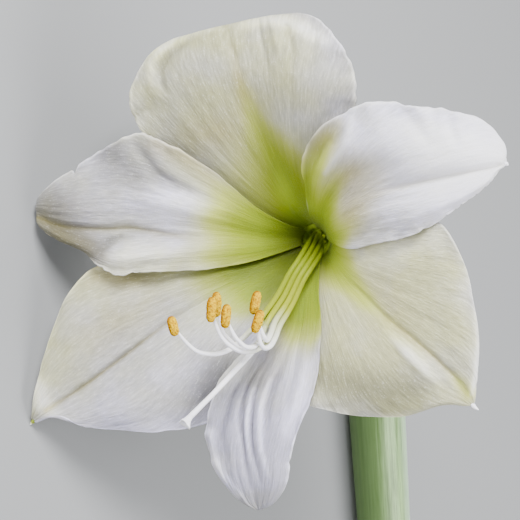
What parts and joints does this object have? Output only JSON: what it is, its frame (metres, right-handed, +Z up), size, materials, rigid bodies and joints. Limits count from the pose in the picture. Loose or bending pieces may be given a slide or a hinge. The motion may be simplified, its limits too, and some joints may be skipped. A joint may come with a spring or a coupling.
{
  "type": "amaryllis flower",
  "caption": "Cut amaryllis flower lying on its side: a wide trumpet of cream and white tepals with a green throat, golden anthers and a thick hollow green stalk.",
  "frame": {"origin": "on the table surface, under the middle of the lying flower's bounding box", "axes": "+Z up from the table; +Y along the stalk from its cut end towards the bloom; the bloom opens towards -X and upwards"},
  "size_m": [0.2191, 0.3608, 0.17],
  "materials": {
    "sepal": "satin, cream with fine veins",
    "petal": "satin, white with fine veins",
    "filament": "smooth, white",
    "stigma": "smooth, white",
    "anther": "powdery, golden",
    "throat": "satin, yellow-green",
    "stalk": "satin, green",
    "bract": "dry, papery"
  },
  "bodies": {
    "root": {"top_sepal": "sepal", "lower_left_sepal": "sepal", "lower_right_sepal": "sepal", "left_petal": "petal", "bottom_petal": "petal", "right_petal": "petal", "filament_1": "filament", "filament_2": "filament", "filament_3": "filament", "filament_4": "filament", "filament_5": "filament", "filament_6": "filament", "style": "filament", "stigma": "stigma", "anther_1": "anther", "anther_2": "anther", "anther_3": "anther", "anther_4": "anther", "anther_5": "anther", "anther_6": "anther", "perianth_tube": "throat", "ovary": "stalk", "pedicel": "stalk", "scape": "stalk", "spathe_1": "bract", "spathe_2": "bract"}
  },
  "joints": []
}
